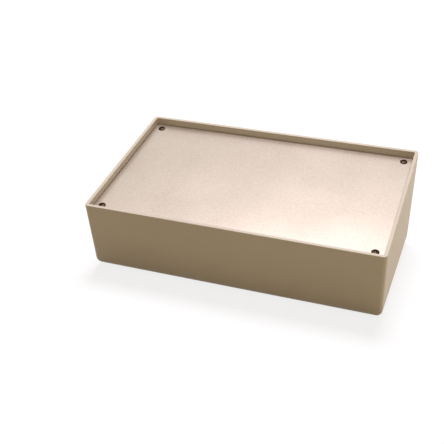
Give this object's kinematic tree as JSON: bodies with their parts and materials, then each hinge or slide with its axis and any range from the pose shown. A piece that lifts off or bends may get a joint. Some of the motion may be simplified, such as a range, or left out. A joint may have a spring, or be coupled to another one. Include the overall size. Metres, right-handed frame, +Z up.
{
  "type": "sloping-front project box",
  "caption": "Moulded plastic desk-console enclosure with a sloping top: a flat aluminium panel lies in a raised rim, held by small corner screws.",
  "frame": {"origin": "on the table under the middle of the box, at the bottoms of the four feet", "axes": "+X along the width to the right as seen from the low front, +Y towards the high back, +Z up"},
  "size_m": [0.161, 0.0959, 0.0579],
  "materials": {
    "case_plastic": "warm grey-beige moulded plastic, satin",
    "panel_aluminium": "satin etched aluminium sheet",
    "screw_steel": "dark blackened steel",
    "insert_brass": "plain turned brass",
    "foot_rubber": "matt black rubber"
  },
  "bodies": {
    "box": {"body_shell": "case_plastic", "insert_front_left": "insert_brass", "insert_front_right": "insert_brass", "insert_back_left": "insert_brass", "insert_back_right": "insert_brass", "foot_front_left": "foot_rubber", "foot_front_right": "foot_rubber", "foot_back_left": "foot_rubber", "foot_back_right": "foot_rubber"},
    "panel": {"top_panel": "panel_aluminium"},
    "screws": {"panel_screws": "screw_steel"}
  },
  "joints": [
    {"name": "panel_lift", "type": "slide", "parent": "box", "child": "panel", "axis": [0, -0.1704, 0.9854], "range_m": [0, 0.06]},
    {"name": "screws_out", "type": "slide", "parent": "panel", "child": "screws", "axis": [0, -0.1704, 0.9854], "range_m": [0, 0.015]}
  ]
}
